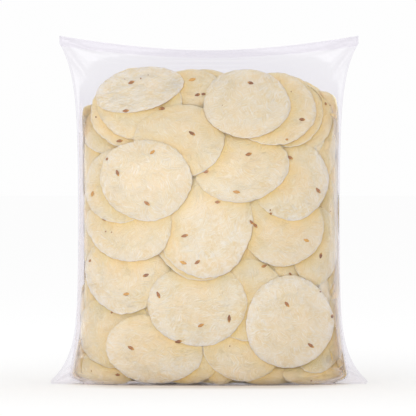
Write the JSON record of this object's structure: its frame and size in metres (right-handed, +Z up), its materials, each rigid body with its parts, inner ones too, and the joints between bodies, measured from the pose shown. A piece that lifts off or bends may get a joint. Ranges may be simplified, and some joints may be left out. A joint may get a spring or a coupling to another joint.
{
  "type": "bag of papads",
  "caption": "Clear sealed pillow bag filled with small round raw papads with cumin seeds, standing upright on its flattened base.",
  "frame": {"origin": "middle of the base that the bag stands on", "axes": "+Z up to the top seal, +X to the right across the bag, +Y from the front to the back"},
  "size_m": [0.2378, 0.0808, 0.261],
  "materials": {
    "papad": "pale cream dried dough, semi-matt, slightly see-through, with fine swirled wrinkles",
    "seed": "brown cumin seed, matt",
    "film": "clear glossy plastic film, heat sealed across the top"
  },
  "bodies": {
    "root": {"filled_bag": "papad"}
  },
  "joints": []
}
